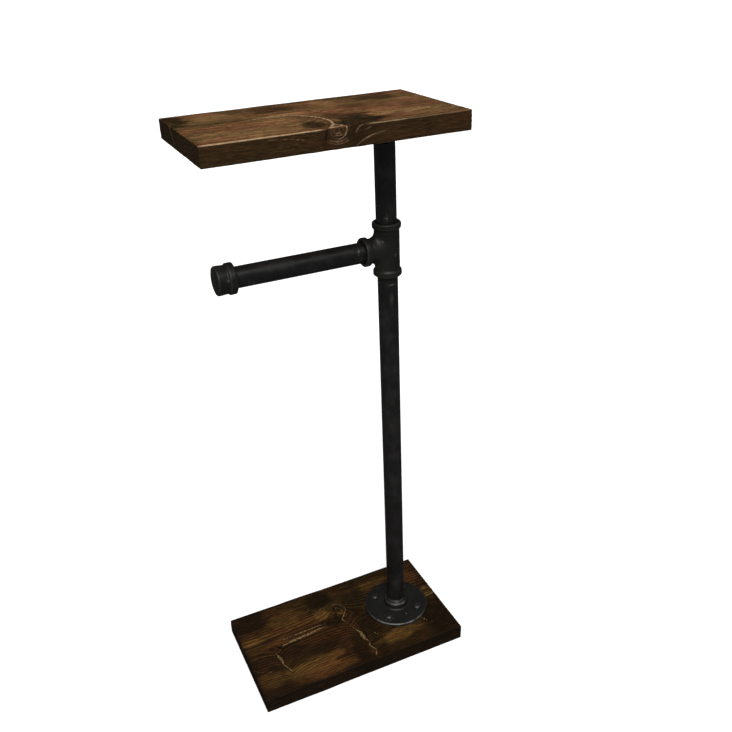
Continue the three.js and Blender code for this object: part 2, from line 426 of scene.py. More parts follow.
BASE_LOG = {
    "seed": 3,
    "pith": (9.0, 0.5),
    "ring": 3.3,
    "relief": 0.34,
    # Each knot: its start and end, its radius at each, and how far the rings swell.
    "knots": [
        {"start": (5, 8, 15), "end": (16, -76, 19), "radius": (1.0, 1.6), "swell": 7},
        {"start": (-92, 4, 15), "end": (-84, -52, 21), "radius": (1.0, 1.4), "swell": 6},
        {"start": (5, 9, 14), "end": (1, 30, 22), "radius": (1.5, 4.6), "swell": 8},
        {"start": (88, 6, 10), "end": (96, -50, 21), "radius": (1.0, 1.6), "swell": 5},
    ],
    # Jagged pale ridges where a branch was grown over. Each point is x, y, z and half the width, or has no z
    # where on_top gives it.
    "ridges": [
        on_top((0, 8, 0.8), (5, -5, 0.4), (8, -15, 0.5), (12, -24, 2.6), (12, -33, 2.2),
               (15, -41, 0.5), (13, -47, 1.1), (17, -56, 0.5), (14, -63, 1.3)),
        on_top((-93, 0, 0.3), (-93, -10, 0.6), (-91, -18, 2.2), (-91, -28, 0.8),
               (-86, -40, 0.8), (-82, -50, 0.3)),
        on_top((0, 8, 0.6), (5, 13, 0.8), (11, 21, 0.5), (10, 30, 0.5), (3, 36, 0.6),
               (-10, 36, 0.4), (-26, 35, 0.5)),
        on_top((-82, 0, 0.8), (-66, 2.5, 2.0), (-45, 4, 1.9), (-28, 6, 1.0)),
        on_top((-80, 9, 0.5), (-55, 10, 1.0), (-32, 11, 0.9), (-20, 10, 0.3)),
        on_top((-33, 46, 0.4), (-31, 38, 0.9)),
        on_top((88, -32, 0.4), (92, -38, 0.8), (98, -46, 0.5), (106, -51, 0.2)),
        on_top((106, -5, 0.5), (116, -3, 0.9), (127, -2, 0.8)),
        on_top((104, 11, 0.3), (114, 10, 0.7), (127, 8, 0.5)),
        on_top((26, -30, 0.9), (33, -39, 0.4)),
        on_top((-127, -22, 0.4), (-110, -33, 0.5), (-104, -30, 0.2)),
    ],
    # Fine dark cracks, given in the same way.
    "cracks": [
        on_top((-126, 13, 0.5), (-90, 14, 0.6), (-60, 13, 0.3)),
        on_top((-90, 3, 0.9), (-84, -4, 1.1), (-70, 0, 0.4), (-50, 1, 0.2)),
        on_top((4, 22, 0.4), (-4, 26, 0.6), (0, 33, 0.3)),
        on_top((11, -18, 0.5), (17, -25, 0.6), (15, -37, 0.5), (18, -46, 0.3)),
    ],
    # Each patch: its middle, its half-sizes along X and Y, and how strong it is.
    "dark": [
        (-108, 54, 26, 18, 0.9), (-14, 52, 18, 15, 0.9), (1, -50, 9, 26, 0.75), (27, -8, 13, 26, 0.7),
        (26, -52, 8, 18, 0.5), (-72, -12, 20, 11, 0.65), (112, -42, 22, 30, 0.85), (-112, -14, 14, 12, 0.5),
        (-34, -24, 22, 9, 0.55), (27, 34, 18, 24, 0.6), (-10, 7, 13, 8, 0.75), (-95, -62, 30, 9, 0.4),
        (-104, -28, 10, 10, 0.45), (60, 62, 60, 7, 0.5), (2, 27, 5, 6, 0.75),
    ],
    "bright": [
        (-56, -46, 34, 14, 1.0), (-50, -60, 40, 8, 0.7), (56, -46, 34, 11, 1.0), (-118, 20, 16, 8, 0.9),
        (-60, 6, 46, 5, 0.7), (-64, 40, 26, 16, 0.45), (-20, 26, 11, 10, 1.0), (118, 4, 12, 12, 0.7),
        (60, 50, 30, 8, 0.5), (-112, -44, 16, 14, 0.45), (-60, 24, 60, 6, 0.4), (100, 40, 20, 14, 0.4),
    ],
    "burnt": 5.0,
    "worn": [],
    # How far the upright faces and the ends are darkened towards char: a painted shade, the ends darker
    # still.
    "side_shade": 0.66,
    "end_dark": 0.75,
    # Stretches of X where marks run across the grain and the mesh is finer.
    "fine": [(-96, -79), (-8, 20)],
    "stain": {
        "deep": (0.0066, 0.0030, 0.0010), "body": (0.022, 0.0100, 0.0034), "line": (0.080, 0.040, 0.0125),
        "glow": (0.175, 0.086, 0.0235), "char": (0.0046, 0.0030, 0.0013), "pale": (0.23, 0.150, 0.066),
    },
}

SHELF_LOG = {
    "seed": 11,
    "pith": (-34.0, 66.0),
    "ring": 4.0,
    "relief": 0.2,
    "knots": [
        {"start": (0, -4, 3), "end": (-7, -78, 18), "radius": (1.0, 8.5), "swell": 12},
        {"start": (92, 40, 12), "end": (90, 14, 21), "radius": (0.8, 1.4), "swell": 4},
    ],
    "ridges": [
        # Late wood that sweeps along the board and round the knot, then beside and past it.
        arc("top", (-40, -35), (41, 46), (115, -45), (0.4, 1.2, 1.3)),
        arc("top", (14, 20), (10, 12), (190, 265), (0.3, 0.8, 0.3)),
        arc("front", (22, 13), (10, 6), (180, 90), (0.7, 0.5, 0.3)),
        arc("front", (46, -6), (38, 17), (155, 93), (0.4, 0.7, 0.3)),
        arc("front", (-72, 1), (52, 15), (88, 8), (0.2, 0.4, 0.3)),
        # The knot's mouth and rim, and the rings under it.
        on_top((-14, -68, 0.6), (-6, -66, 1.8), (1, -65, 0.8)),
        [(-4, -54, TOP, 0.4), (1, -61, TOP, 1.1),
         *arc("front", KNOT_MIDDLE, (KNOT_RADIUS, KNOT_RADIUS), (10, -130), (1.0, 0.8, 0.3))],
        *rings_below_knot(),
        [(20, FRONT, 14, 0.3), (26, FRONT, 16, 0.6)],
        [(-127, 26, TOP, 0.6), (-127, 15, 3, 0.3)],
    ],
    "cracks": [
        on_top((84, 18, 0.4), (90, 19, 0.9), (95, 21, 0.3)),
        on_top((-64, -38, 0.2), (-58, -37, 0.5)), on_top((58, -28, 0.2), (65, -27, 0.5)),
        on_top((66, -15, 0.2), (74, -14, 0.4)), on_top((82, -50, 0.2), (88, -49, 0.5)),
        on_top((6, 13, 0.4), (13, 12, 0.8)), on_top((-110, 12, 0.3), (-98, 13, 0.5)),
        [(-4, -50, TOP, 0.5), (-10, -60, TOP, 0.6), (-15, FRONT, 18, 0.5), (-17, FRONT, 9, 0.6)],
        arc("front", KNOT_MIDDLE, (KNOT_RADIUS + 1, KNOT_RADIUS - 1), (-140, -50), (0.3, 0.5, 0.3)),
    ],
    "dark": [
        (26, -48, 22, 24, 1.0), (12, -62, 15, 11, 1.0), (12, -22, 10, 22, 0.6), (-18, -48, 9, 20, 0.9),
        (-22, 46, 26, 20, 0.75),
        (84, 46, 28, 18, 0.7), (-122, 44, 14, 40, 1.0), (-62, 60, 16, 12, 0.5), (44, 16, 16, 10, 0.45),
        (100, -8, 22, 8, 0.3), (-88, 12, 30, 9, 0.45), (60, 62, 60, 8, 0.5), (0, 66, 40, 8, 0.5),
    ],
    "bright": [
        (-78, -44, 48, 22, 0.75), (58, -26, 22, 16, 0.75), (-84, 40, 18, 18, 0.5), (28, 40, 12, 24, 0.5),
        (96, -44, 30, 20, 0.6), (-20, 12, 24, 6, 0.8), (-40, -20, 26, 20, 0.5), (100, 22, 18, 6, 0.5),
    ],
    "burnt": 1.4,
    # Stretches of the front top edge rubbed back to pale wood, with a painted highlight along it: from one X
    # to another, and how strongly.
    "worn": [(-126, -20, 0.9), (25, 60, 0.5), (60, 126, 0.2)],
    # How far the upright faces and the ends are darkened towards char: a painted shade, the ends darker
    # still.
    "side_shade": 0.87,
    "end_dark": 0.93,
    "fine": [(-22, 46)],
    "stain": {
        "deep": (0.030, 0.0142, 0.0060), "body": (0.128, 0.063, 0.0270), "line": (0.225, 0.120, 0.054),
        "glow": (0.410, 0.218, 0.104), "char": (0.0100, 0.0056, 0.0014), "pale": (0.56, 0.375, 0.210),
    },
}


def patches(points, listed, seed):
    """How strongly each point lies in any of the listed patches, with ragged borders along the grain."""
    ragged = 0.5 * layered_noise(points, (24, 6, 6), seed, 4)
    total = np.zeros(len(points))
    for x, y, half_x, half_y, strength in listed:
        away = np.hypot((points[:, 0] - x) / half_x, (points[:, 1] - y) / half_y)
        total = np.maximum(total, strength * smooth_step(1.2, 0.65, away + ragged))
    return total


def depth_in_lines(points, lines):
    """How far inside the nearest listed line each point lies: 1 in its middle, 0 at its side."""
    best = np.full(len(points), -9.0)
    for line in lines:
        for start, end in zip(np.array(line[:-1], float), np.array(line[1:], float)):
            along = end[:3] - start[:3]
            t = np.clip((points - start[:3]) @ along / (along @ along), 0, 1)
            away = np.linalg.norm(points - start[:3] - np.outer(t, along), axis=1)
            best = np.maximum(best, 1 - away / (start[3] + (end[3] - start[3]) * t))
    return best


def knot_field(points, knot):
    """For each point: how far the rings swell there, its depth inside the knot in mm, and its distance from
    the knot's axis."""
    start = np.array(knot["start"], float)
    along = np.array(knot["end"], float) - start
    length = np.linalg.norm(along)
    along /= length
    offset = points - start
    t = offset @ along
    away = np.linalg.norm(offset - np.outer(t, along), axis=1)
    first, last = knot["radius"]
    radius = first + (last - first) * np.clip(t / length, 0, 1)
    present = smooth_step(-4, 6, t) * smooth_step(length + 8, length - 2, t)
    swell = knot["swell"] * present * np.exp(-np.clip(away - radius, 0, None) / (1.3 * radius + 5))
    depth = np.where(present > 0.5, radius - away, -9)
    return swell, depth, away


def wood_field(points, log):
    """The rings, knots and lines at each point."""
    seed = log["seed"]
    wander = points * (1, 0, 0)
    pith_y = log["pith"][0] + 3.0 * noise(wander, 95, seed + 1)
    pith_z = log["pith"][1] + 2.0 * noise(wander, 70, seed + 2)
    across = points[:, 1] - pith_y
    above = points[:, 2] - pith_z
    ring = np.hypot(across, above) + 0.8 * layered_noise(points, (60, 14, 14), seed + 3)
    knot_depth = np.full(len(points), -9.0)
    core = np.zeros(len(points))
    for knot in log["knots"]:
        swell, depth, away = knot_field(points, knot)
        ring -= swell
        core = np.where(depth > knot_depth, away, core)
        knot_depth = np.maximum(knot_depth, depth)
    return {
        "ring": ring / log["ring"],
        "around": np.arctan2(across, above) * 20,
        "knot": knot_depth,
        "core": core,
        "ridge": depth_in_lines(points, log["ridges"]),
        "crack": depth_in_lines(points, log["cracks"]),
    }


def grain_sink(points, grain, log):
    """How far the surface lies below the board's full size, in mm: soft wood worn away between the rings,
    cracks, and dents."""
    seed = log["seed"]
    part = np.mod(grain["ring"], 1)
    hard = smooth_step(0.3, 0.85, part) * smooth_step(1.0, 0.92, part)
    jag = 0.5 * layered_noise(points, (2.4, 3.4, 3.4), seed + 12)
    proud = smooth_step(-0.3, 0.5, grain["ridge"] + jag)
    beside = smooth_step(-3, -0.6, grain["ridge"]) * (1 - proud)
    cracked = smooth_step(-0.4, 0.5, grain["crack"] + 0.5 * jag)
    in_knot = smooth_step(-0.4, 0.4, grain["knot"] + jag)
    knot_rings = 0.5 + 0.5 * np.cos(grain["core"] * 2 * math.pi / 1.9)
    dents = smooth_step(0.4, 0.9, layered_noise(points, (9, 5, 5), seed + 8))
    sink = log["relief"] * (1 - hard) * (1 - in_knot) * (1 - proud)
    sink += 0.3 * in_knot * knot_rings * (1 - proud) + 0.15 * dents + 0.3 * beside + 0.5 * cracked
    return sink


def box_surface(xs, ys, zs):
    """Vertices and four-sided faces of a box's surface on the grid lines xs, ys and zs."""
    counts = (len(xs), len(ys), len(zs))
    shell = np.ones(counts, bool)
    shell[1:-1, 1:-1, 1:-1] = False
    index = np.full(counts, -1)
    index[shell] = np.arange(shell.sum())
    cells = np.argwhere(shell)
    vertices = np.stack([xs[cells[:, 0]], ys[cells[:, 1]], zs[cells[:, 2]]], axis=1)
    faces = []
    for axis, end in itertools.product(range(3), (0, -1)):
        sheet = np.take(index, end, axis=axis)
        corners = [sheet[:-1, :-1], sheet[1:, :-1], sheet[1:, 1:], sheet[:-1, 1:]]
        quads = np.stack([c.ravel() for c in corners], axis=1)
        outwards = (end == -1) ^ (axis == 1)
        faces.append(quads if outwards else quads[:, ::-1])
    return vertices, np.concatenate(faces)


EDGE_ROUND = 1.5
FINE_SHARE = 2.4
RIM_SHARES = np.array([0, 0.12, 0.3, 0.55, 0.8, 1.0])


def grid_lines(half, step, fine=()):
    """Grid lines from -half to half, about a step apart, closer in the rounded edge and fine stretches."""
    rim = EDGE_ROUND * RIM_SHARES
    samples = np.linspace(-half + EDGE_ROUND, half - EDGE_ROUND, 4001)
    share = np.ones(len(samples))
    for start, end in fine:
        share[(samples > start) & (samples < end)] = FINE_SHARE
    steps = np.cumsum(share) / share.sum()
    count = max(1, round(2 * (half - EDGE_ROUND) / step * share.mean()))
    inner = np.interp(np.linspace(steps[0], 1, count + 1), steps, samples)
    return np.concatenate([-half + rim[:-1], inner, half - rim[-2::-1]])


def board(name, body, log):
    """A stained board with eased edges, raised grain, ridges and cracks."""
    low, high = node_box(name)
    centre, half = (low + high) / 2, (high - low) / 2
    grid = grid_lines(half[0], 2.1, log["fine"]), grid_lines(half[1], 0.74), grid_lines(half[2], 0.9)
    flat, faces = box_surface(*grid)
    soften = EDGE_ROUND * (0.8 + 0.2 * noise(flat, (25, 25, 12), log["seed"] + 5))[:, None]
    inner = np.clip(flat, soften - half, half - soften)
    normals = (flat - inner) / np.linalg.norm(flat - inner, axis=1)[:, None]
    shaped = inner + normals * soften

    places = shaped + (0, 0, half[2])
    grain = wood_field(places, log)
    from_post = np.hypot(shaped[:, 0] + centre[0] - POST_X, shaped[:, 1] + centre[1] - POST_Y)
    sink = grain_sink(places, grain, log) * (0.1 + 0.9 * smooth_step(36, 40, from_post))
    made = mesh_object(name + "_wood", shaped - normals * sink[:, None] + centre, faces)

    rim = np.sort(half - np.abs(shaped), axis=1)[:, 1]
    burnt = np.exp(-rim / log["burnt"]) * (0.7 + 0.6 * layered_noise(shaped, (18, 9, 6), log["seed"] + 6))
    # Upright faces get a painted shade, darker on the ends; it joins the stain patches and burnt edges in
    # dark.
    on_side = 1 - smooth_step(0.3, 0.9, np.abs(normals[:, 2]))
    on_end = smooth_step(0.5, 0.9, np.abs(normals[:, 0]))
    side = log["side_shade"] * on_side + (log["end_dark"] - log["side_shade"]) * on_end
    dark = patches(places, log["dark"], log["seed"] + 30)
    dark = 1 - (1 - dark) * (1 - np.clip(burnt, 0, 1)) * (1 - side)
    bright = patches(places, log["bright"], log["seed"] + 40)
    # worn: pale rubbed wood and a painted highlight along the front top edge.
    worn = np.zeros(len(places))
    for start, end, strength in log["worn"]:
        along = smooth_step(start - 6, start + 6, places[:, 0]) * smooth_step(end + 6, end - 6, places[:, 0])
        from_edge = np.hypot(places[:, 1] - FRONT, places[:, 2] - TOP)
        worn = np.maximum(worn, strength * along * smooth_step(1.5, 0.5, from_edge))

    add_attribute(made, "fibre", places[:, 0], grain["ring"], grain["around"])
    add_attribute(made, "marks", dark, bright, worn)
    add_attribute(made, "knots", grain["knot"], grain["core"], grain["ridge"])
    add_attribute(made, "cuts", grain["crack"], on_side, np.zeros(len(places)))
    finish_piece(made, body, name, wood_material(name + "_stain", log["stain"]))


def wood_material(name, stain):
    """Brushed pine under dark stain: the soft early wood has drunk the stain and lies low and dark, and the
    hard late wood stands up in lighter lines."""
    shader = Shader(name)
    fibre = shader.attribute("fibre")
    dark, bright, worn = shader.parts(shader.attribute("marks"))
    knot, core, ridge = shader.parts(shader.attribute("knots"))
    crack, on_side = shader.parts(shader.attribute("cuts"))[:2]
    ring = shader.parts(fibre)[1]
    place_in = shader.place()

    streaks = shader.noise(fibre, (0.10, 7.0, 1.6), 5, 0.62)
    threads = shader.noise(fibre, (0.25, 24.0, 5.0), 4, 0.65)
    clouds = shader.noise(place_in, (22, 60, 60), 4)
    hue = shader.noise(place_in, (16, 34, 34), 2)
    jag = shader.times(shader.math("SUBTRACT", shader.noise(place_in, 380, 5, 0.7), 0.5), 2.6)

    wobble = shader.noise(fibre, (0.05, 0.9, 0.2), 3)
    turn = shader.plus(ring, shader.times(wobble, 0.5))
    part = shader.math("FRACT", turn)
    late = shader.times(shader.between(part, 0.3, 0.84), shader.between(part, 1.0, 0.93))
    number = shader.node("ShaderNodeTexWhiteNoise", {"W": shader.math("FLOOR", turn)}, noise_dimensions="1D")
    line = shader.times(late, shader.between(number.outputs["Value"], 0, 1, 0.45, 1.0))
    line = shader.times(line, shader.between(streaks, 0.38, 0.6, 0.1, 1.0))
    line = shader.times(line, shader.between(on_side, 0, 1, 1.0, 0.2))

    colour = shader.blend(shader.between(streaks, 0.34, 0.64), stain["deep"], stain["body"])
    colour = shader.blend(shader.between(clouds, 0.4, 0.66, 0, 0.35), colour, stain["body"])
    lit = shader.times(bright, shader.between(streaks, 0.34, 0.66, 0.04, 0.5))
    colour = shader.blend(lit, colour, stain["glow"])
    line_colour = shader.blend(bright, stain["line"], stain["glow"])
    colour = shader.blend(line, colour, line_colour)
    colour = shader.blend(shader.between(threads, 0.52, 0.36, 0, 0.7), colour, stain["char"])

    swirl = shader.plus(core, shader.times(jag, 1.6))
    rings = shader.math("FRACT", shader.times(swirl, 0.3))
    heart = shader.blend(shader.between(rings, 0.25, 0.9, 0.1, 0.62), stain["deep"], stain["glow"])
    in_knot = shader.between(shader.plus(knot, jag), -0.3, 0.4)
    colour = shader.blend(in_knot, colour, heart)

    tints = shader.blend(shader.between(hue, 0.38, 0.62), (1.18, 0.94, 0.86), (0.92, 0.97, 0.78))
    colour = shader.blend(0.9, colour, tints, "MULTIPLY")
    patchy = shader.between(streaks, 0.3, 0.72, 1.25, 0.62)
    patchy = shader.blend_value(shader.times(on_side, 0.75), patchy, 1.0)
    # dark holds stain patches, burnt edges and the painted shade on upright faces.
    depth = shader.times(shader.times(dark, patchy), 0.94, clamp=True)
    colour = shader.blend(depth, colour, stain["char"])

    on_ridge = shader.plus(ridge, jag)
    beside = shader.between(ridge, -3.0, -0.2, 0, 0.6)
    colour = shader.blend(beside, colour, stain["deep"])
    flecks = shader.noise(place_in, 700, 3, 0.6)
    pale = shader.blend(shader.between(flecks, 0.36, 0.62), stain["body"], stain["pale"])
    laid_bare = shader.times(shader.between(on_ridge, -0.2, 0.6, 0, 0.8),
                            shader.between(on_side, 0, 1, 1.0, 0.3))
    colour = shader.blend(laid_bare, colour, pale)
    # The front top edge: rubbed pale wood and a painted highlight.
    rubbed = shader.times(worn, shader.between(threads, 0.36, 0.6, 0.15, 0.85))
    colour = shader.blend(rubbed, colour, stain["pale"])
    split = shader.between(shader.plus(crack, shader.times(jag, 0.5)), -0.3, 0.4, 0, 0.92)
    colour = shader.blend(split, colour, (0.003, 0.002, 0.0012))

    height = shader.plus(shader.times(late, 0.7), shader.times(streaks, 0.5))
    height = shader.plus(height, shader.times(threads, 0.5))
    shader.set(
        Base_Color=colour,
        Roughness=shader.between(streaks, 0.2, 0.8, 0.66, 0.5),
        Normal=shader.bump(height, 0.6, 0.0004),
        Specular_IOR_Level=0.05,
    )
    return shader.material


# ---- Pipes ----

THREAD_PITCH = 1.814
UPRIGHT_IN = 9.5
THREAD_DEPTH = 1.1
HIDDEN_THREAD = 9.6
BARE_THREAD = 14.5
PIPE_BORE = 7.9
PIPE_SIDES = 128


def arc_from(angle, degrees):
    """Distance round a pipe from the line facing degrees, in mm."""
    return (np.mod(angle - math.radians(degrees) + math.pi, 2 * math.pi) - math.pi) * PIPE_RADIUS


def threaded_pipe(name, body, material, threads, turn, offset, bites=(), scuffs=()):
    """A pipe standing on Z, then turned and moved into place. threads is the length of tapered thread at its
    lower and upper end. Each bite of a wrench is its height, its direction in degrees, and its size. Each
    scuff is its height, direction, half-height, half-width and how far its paint is worn through; each
    scuff is both rubbed paint and a painted highlight."""
    low, high = node_box(name)
    length = (high - low).max()
    fine = np.arange(0, 20, THREAD_PITCH / 7)
    near = np.arange(20, 36, 0.7)
    heights = np.concatenate([fine, near, np.arange(36, length - 36, 4.0), (length - near)[::-1],
                              (length - fine)[::-1]])
    angles = np.arange(PIPE_SIDES) * 2 * math.pi / PIPE_SIDES
    z, angle = np.meshgrid(heights, angles, indexing="ij")

    from_end = np.minimum(z, length - z)
    handed = np.where(z < length / 2, 1, -1)
    cut_length = np.where(z < length / 2, *threads)
    phase = np.mod(from_end / THREAD_PITCH - handed * angle / (2 * math.pi), 1)
    groove = np.clip(1.35 - 3.0 * np.abs(phase - 0.5), 0, 1)
    fade = smooth_step(cut_length, cut_length - 2.5, from_end)
    radius = PIPE_RADIUS - (THREAD_DEPTH * groove + (cut_length - from_end) / 32 + 0.25) * fade
    radius -= smooth_step(1.2, 0, from_end) * 0.9
    for height, degrees, size in bites:
        around = arc_from(angle, degrees)
        radius -= 0.6 * np.exp(-((z - height) / size) ** 4 - (around / (1.6 * size)) ** 6)
    bare_and_highlight = 0.4 * fade * (1 - groove)
    # The scuffs lighten the paint: rubbed paint and a painted highlight at once.
    for height, degrees, half_height, half_width, amount in scuffs:
        around = arc_from(angle, degrees)
        bare_and_highlight += amount * np.exp(-((z - height) / half_height) ** 2 - (around / half_width) ** 2)

    points = np.stack([radius * np.cos(angle), radius * np.sin(angle), z], axis=-1).reshape(-1, 3)
    ring = np.column_stack([PIPE_BORE * np.cos(angles), PIPE_BORE * np.sin(angles), np.zeros(PIPE_SIDES)])
    vertices = np.concatenate([points, ring + (0, 0, length), ring])
    rows = len(heights) + 2
    row, side = np.meshgrid(np.arange(rows), np.arange(PIPE_SIDES), indexing="ij")
    up, on = (row + 1) % rows * PIPE_SIDES, (side + 1) % PIPE_SIDES
    corners = [row * PIPE_SIDES + side, row * PIPE_SIDES + on, up + on, up + side]
    made = mesh_object(name + "_steel", vertices, np.stack([c.ravel() for c in corners], axis=1))
    place(made, turn, offset)
    bare_and_highlight = np.concatenate([np.clip(bare_and_highlight, 0, 1).ravel(), np.zeros(2 * PIPE_SIDES)])
    add_attribute(made, "bare_and_highlight", bare_and_highlight, bare_and_highlight, bare_and_highlight)
    shade_smooth(made, 50)
    finish_piece(made, body, name, material)


def pipe_material():
    """Black lacquer on drawn steel: satin, with long faint draw lines, dull scuffs and small sags."""
    shader = Shader("pipe_lacquer")
    place_in = shader.place()
    scuffs = shader.noise(place_in, 55, 5, 0.65)
    grit = shader.noise(place_in, 900, 3, 0.6)
    sags = shader.noise(place_in, (120, 120, 42), 2)
    dull = shader.between(scuffs, 0.42, 0.72)
    colour = shader.blend(dull, (0.0052, 0.0047, 0.0046), (0.0115, 0.0104, 0.0100))
    colour = shader.blend(shader.between(grit, 0.6, 0.8, 0, 0.35), colour, (0.024, 0.022, 0.021))
    # The lighter grey here is bare steel on thread crests and scuffs, and painted highlight streaks.
    bare_and_highlight = shader.times(shader.parts(shader.attribute("bare_and_highlight"))[0],
                       shader.between(grit, 0.35, 0.6, 0.5, 1.0))
    colour = shader.blend(bare_and_highlight, colour, (0.062, 0.058, 0.054))
    height = shader.plus(sags, shader.times(grit, 0.12))
    shader.set(
        Base_Color=colour,
        Roughness=shader.between(scuffs, 0.3, 0.75, 0.36, 0.56),
        Normal=shader.bump(height, 0.35, 0.0004),
        Specular_IOR_Level=0.3,
    )
    return shader.material


# ---- Cast fittings ----

SOCKET_RADIUS = PIPE_RADIUS + 0.25
CAST_SIDES = 144


def roughen(made, size, depth, seed):
    """Gives a casting its slightly uneven skin, only inwards."""
    points = vertices_of(made)
    shift = depth * (0.5 + 0.5 * layered_noise(points, size, seed))
    move_vertices(made, points - normals_of(made) * shift[:, None])


def edge_rub_and_highlight(made, reach, nubs):
    """Marks in an attribute where paint rubs thin and a highlight is painted: an object's sharper convex
    edges, as much as reach gives for each point, and the nubs that stand proud of it."""
    points, normals = vertices_of(made), normals_of(made)
    flat = np.empty(len(made.data.edges) * 2, np.int64)
    made.data.edges.foreach_get("vertices", flat)
    first, second = flat.reshape(-1, 2).T
    across = points[second] - points[first]
    square = np.clip((across**2).sum(axis=1), 1e-4, None)
    bend, count = np.zeros(len(points)), np.zeros(len(points))
    for here, sign in ((first, -1), (second, 1)):
        np.add.at(bend, here, sign * (across * normals[here]).sum(axis=1) * 2 / square)
        np.add.at(count, here, 1)
    # rub on convex edges is rubbed paint and a painted highlight at once.
    rub = smooth_step(0.09, 0.3, bend / np.clip(count, 1, None)) * reach(points)
    for spot, rise in nubs:
        rub = np.maximum(rub, rise * np.exp(-((points - spot) ** 2).sum(axis=1) / 1.3))
    add_attribute(made, "rub", rub, rub, rub)


def cast_material():
    """Black malleable iron: a fine sand-cast skin under thin black paint, olive here and there."""
    shader = Shader("cast_iron_skin")
    place_in = shader.place()
    skin = shader.noise(place_in, 420, 6, 0.7)
    pits = shader.noise(place_in, 1500, 2, 0.5)
    tint = shader.noise(place_in, 38, 4)
    colour = shader.blend(shader.between(tint, 0.4, 0.68), (0.0056, 0.0051, 0.0049), (0.0086, 0.0088, 0.0064))
    colour = shader.blend(shader.between(skin, 0.56, 0.78, 0, 0.5), colour, (0.020, 0.019, 0.016))
    # worn: paint rubbed thin on edges and nubs, with a painted highlight on the edges, in lighter grey.
    worn = shader.times(shader.parts(shader.attribute("rub"))[0],
                       shader.between(shader.noise(place_in, 160, 4, 0.6), 0.34, 0.6, 0.2, 1.0))
    colour = shader.blend(worn, colour, (0.105, 0.102, 0.094))
    height = shader.plus(skin, shader.times(pits, 0.3))
    shader.set(
        Base_Color=colour,
        Roughness=shader.blend_value(worn, shader.between(skin, 0.3, 0.7, 0.54, 0.38), 0.3),
        Normal=shader.bump(height, 0.55, 0.0005),
        Specular_IOR_Level=0.26,
    )
    return shader.material


TEE_REACH = POST_X - node_box("tee")[0][0]
TEE_BAND = (node_box("tee")[1][1] - node_box("tee")[0][1]) / 2
TEE_BODY = TEE_BAND - 1.8
TEE_BAND_HALF = 3.3
TEE_BAND_MIDDLE = TEE_REACH - TEE_BAND_HALF


def on_barrel(degrees, height, rise):
    """A lump on the tee's upright barrel, facing degrees round from +X, and its rise."""
    angle = math.radians(degrees)
    return (TEE_BODY * math.cos(angle), TEE_BODY * math.sin(angle), height), rise


TEE_NUBS = [on_barrel(-135, 10, 1.1), on_barrel(-75, -4, 0.5), on_barrel(60, 3, 0.6)]


def moved(nubs, offset):
    """The same nubs, each moved by offset."""
    return [(np.add(spot, offset), rise) for spot, rise in nubs]


def raise_nubs(made, nubs):
    """Raises a small bump at each spot."""
    points, normals = vertices_of(made), normals_of(made)
    for spot, rise in nubs:
        near = np.exp(-((points - spot) ** 2).sum(axis=1) / 1.3)
        points += normals * (rise * near)[:, None]
    move_vertices(made, points)


def soft_union(a, b, size):
    """Joins two distance fields with a fillet about as large as size."""
    mix = np.clip(0.5 + 0.5 * (b - a) / size, 0, 1)
    return b + (a - b) * mix - size * mix * (1 - mix)


def short_rod(across, along, radius, half_length, rounding):
    """Distance to a rod with rounded edges, centred where along is 0."""
    out_r = across - radius + rounding
    out_z = np.abs(along) - half_length + rounding
    outside = np.hypot(np.clip(out_r, 0, None), np.clip(out_z, 0, None))
    return outside + np.minimum(np.maximum(out_r, out_z), 0) - rounding


def tee_distance(points):
    """Distance from the skin of a solid tee, whose arms point up, down and along -X. The fillet between them
    shrinks to nothing at the sides, where both face the same way."""
    x, y, z = points.T
    across, arm_across = np.hypot(x, y), np.hypot(y, z)
    run = short_rod(across, z, TEE_BODY, TEE_REACH - 0.5, 0.5)
    arm = short_rod(arm_across, x + TEE_REACH / 2, TEE_BODY - 0.3, TEE_REACH / 2 - 0.5, 0.5)
    bands = short_rod(across, np.abs(z) - TEE_BAND_MIDDLE, TEE_BAND, TEE_BAND_HALF, 1.7)
    arm_band = short_rod(arm_across, -x - TEE_BAND_MIDDLE, TEE_BAND, TEE_BAND_HALF, 1.7)
    alike = y**2 / np.clip(across * arm_across, 1, None)
    skin = soft_union(run, arm, 0.5 + 7.5 * np.clip(1 - alike, 0, 1))
    return soft_union(skin, np.minimum(bands, arm_band), 1.4)


def settle(points, distance):
    """Moves points onto the surface where distance is zero."""
    nudge = 0.02 * np.eye(3)
    for _ in range(6):
        slope = np.stack([distance(points + n) - distance(points - n) for n in nudge], axis=1) / 0.04
        steepness = np.clip((slope**2).sum(axis=1, keepdims=True), 0.2, None)
        points = points - distance(points)[:, None] * slope / steepness
    return points


